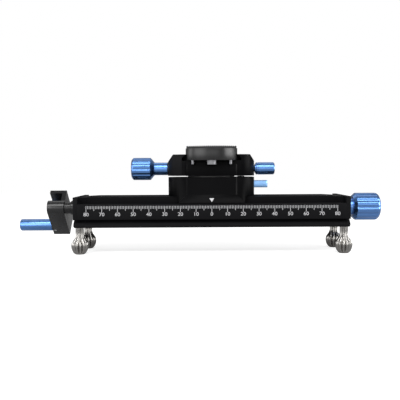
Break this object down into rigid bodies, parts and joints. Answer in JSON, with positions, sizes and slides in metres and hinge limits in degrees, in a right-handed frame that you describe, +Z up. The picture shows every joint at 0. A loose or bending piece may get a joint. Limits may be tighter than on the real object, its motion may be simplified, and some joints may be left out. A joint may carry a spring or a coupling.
{
  "type": "macro focusing rail",
  "caption": "Macro focusing rail: a crank and knob turn a lead screw that moves a carriage with a panning plate clamp along a graduated rail on screw-in feet.",
  "frame": {"origin": "centre of the middle tripod socket's mouth, in the rail's flat underside", "axes": "+X along the rail towards the drive knob, -Y towards the graduated face, +Z up"},
  "size_m": [0.2441, 0.05, 0.0694],
  "materials": {
    "black_anodised": "black anodised, fine satin",
    "blue_anodised": "blue anodised, satin",
    "polished_steel": "polished",
    "ground_steel": "ground",
    "black_steel": "black oxide",
    "bronze": "machined",
    "nylon": "matte",
    "ribbed_rubber": "matte, ribbed"
  },
  "bodies": {
    "rail": {"rail_body": "black_anodised", "end_block_left": "black_anodised", "end_block_right": "black_anodised", "end_block_screws": "black_steel", "bushing_left": "bronze", "bushing_right": "bronze", "foot_front_left": "polished_steel", "foot_front_right": "polished_steel", "foot_rear_left": "polished_steel", "foot_rear_right": "polished_steel"},
    "drive": {"lead_screw": "ground_steel", "thrust_washers": "nylon", "drive_knob": "blue_anodised", "drive_knob_screw": "black_steel", "crank_collar": "black_anodised", "crank_arm": "black_anodised", "crank_screw": "ground_steel", "grip_spindle": "ground_steel", "grip_pin": "ground_steel"},
    "grip": {"crank_grip": "blue_anodised"},
    "carriage": {"carriage": "black_anodised", "drive_nut": "bronze", "backlash_nut": "bronze", "backlash_spring": "ground_steel", "nut_screws": "black_steel", "gib_strip": "bronze", "gib_screws": "black_steel", "pan_spindle": "ground_steel", "pan_washer": "nylon", "spindle_washer": "ground_steel", "spindle_screw": "black_steel"},
    "lock_lever": {"lock_lever": "blue_anodised", "lock_screw": "black_steel"},
    "lock_pad": {"lock_pad": "bronze"},
    "clamp": {"clamp_body": "black_anodised", "guide_pins": "black_steel"},
    "pan_lock_shoe": {"pan_lock_shoe": "bronze"},
    "pan_lock_knob": {"pan_lock_knob": "blue_anodised", "pan_lock_screw": "black_steel"},
    "jaw": {"moving_jaw": "black_anodised"},
    "clamp_knob": {"clamp_knob": "blue_anodised", "clamp_screw": "black_steel", "clamp_washer": "black_steel", "clamp_ring": "black_steel"},
    "plate": {"plate": "black_anodised", "plate_pad": "ribbed_rubber", "plate_stop_pins": "polished_steel", "plate_stop_screw": "polished_steel"},
    "camera_screw": {"camera_screw": "ground_steel"}
  },
  "joints": [
    {"name": "drive_turn", "type": "hinge", "parent": "rail", "child": "drive", "pos_m": [0, 0, 0.0118], "axis": [-1, 0, 0], "range_deg": [-11521, 16201]},
    {"name": "carriage_slide", "type": "slide", "parent": "rail", "child": "carriage", "axis": [1, 0, 0], "range_m": [-0.04, 0.05625]},
    {"name": "grip_spin", "type": "hinge", "parent": "drive", "child": "grip", "pos_m": [-0.12, 0.0136, -0.00089], "axis": [1, 0, 0], "continuous": true},
    {"name": "lock_lever_turn", "type": "hinge", "parent": "lock_pad", "child": "lock_lever", "pos_m": [0.0206, 0.0104, 0.0268], "axis": [0, 0, 1], "range_deg": [-1, 61]},
    {"name": "lock_pad_lift", "type": "slide", "parent": "carriage", "child": "lock_pad", "axis": [0, 0, 1], "range_m": [0, 0.0001333]},
    {"name": "pan_turn", "type": "hinge", "parent": "carriage", "child": "clamp", "pos_m": [0, 0, 0.0368], "axis": [0, 0, 1], "continuous": true},
    {"name": "pan_lock_slide", "type": "slide", "parent": "clamp", "child": "pan_lock_shoe", "axis": [1, 0, 0], "range_m": [0, 0.0007]},
    {"name": "pan_lock_turn", "type": "hinge", "parent": "pan_lock_shoe", "child": "pan_lock_knob", "pos_m": [0.036, 0, 0.0375], "axis": [1, 0, 0], "range_deg": [-1, 361]},
    {"name": "jaw_slide", "type": "slide", "parent": "clamp", "child": "jaw", "axis": [-1, 0, 0], "range_m": [0, 0.004]},
    {"name": "clamp_knob_turn", "type": "hinge", "parent": "jaw", "child": "clamp_knob", "pos_m": [-0.046, 0, 0.0375], "axis": [-1, 0, 0], "range_deg": [-1, 1441]},
    {"name": "plate_slide", "type": "slide", "parent": "clamp", "child": "plate", "axis": [0, -1, 0], "range_m": [-0.0005, 0.02]},
    {"name": "camera_screw_lift", "type": "slide", "parent": "plate", "child": "camera_screw", "axis": [0, 0, 1], "range_m": [0, 0.0042]}
  ],
  "couplings": [
    {"joint": "drive_turn", "follows": "carriage_slide", "rad_per_m": 5026.5},
    {"joint": "lock_lever_turn", "follows": "lock_pad_lift", "rad_per_m": 7854},
    {"joint": "pan_lock_turn", "follows": "pan_lock_slide", "rad_per_m": 8976},
    {"joint": "clamp_knob_turn", "follows": "jaw_slide", "rad_per_m": 6283.2}
  ]
}
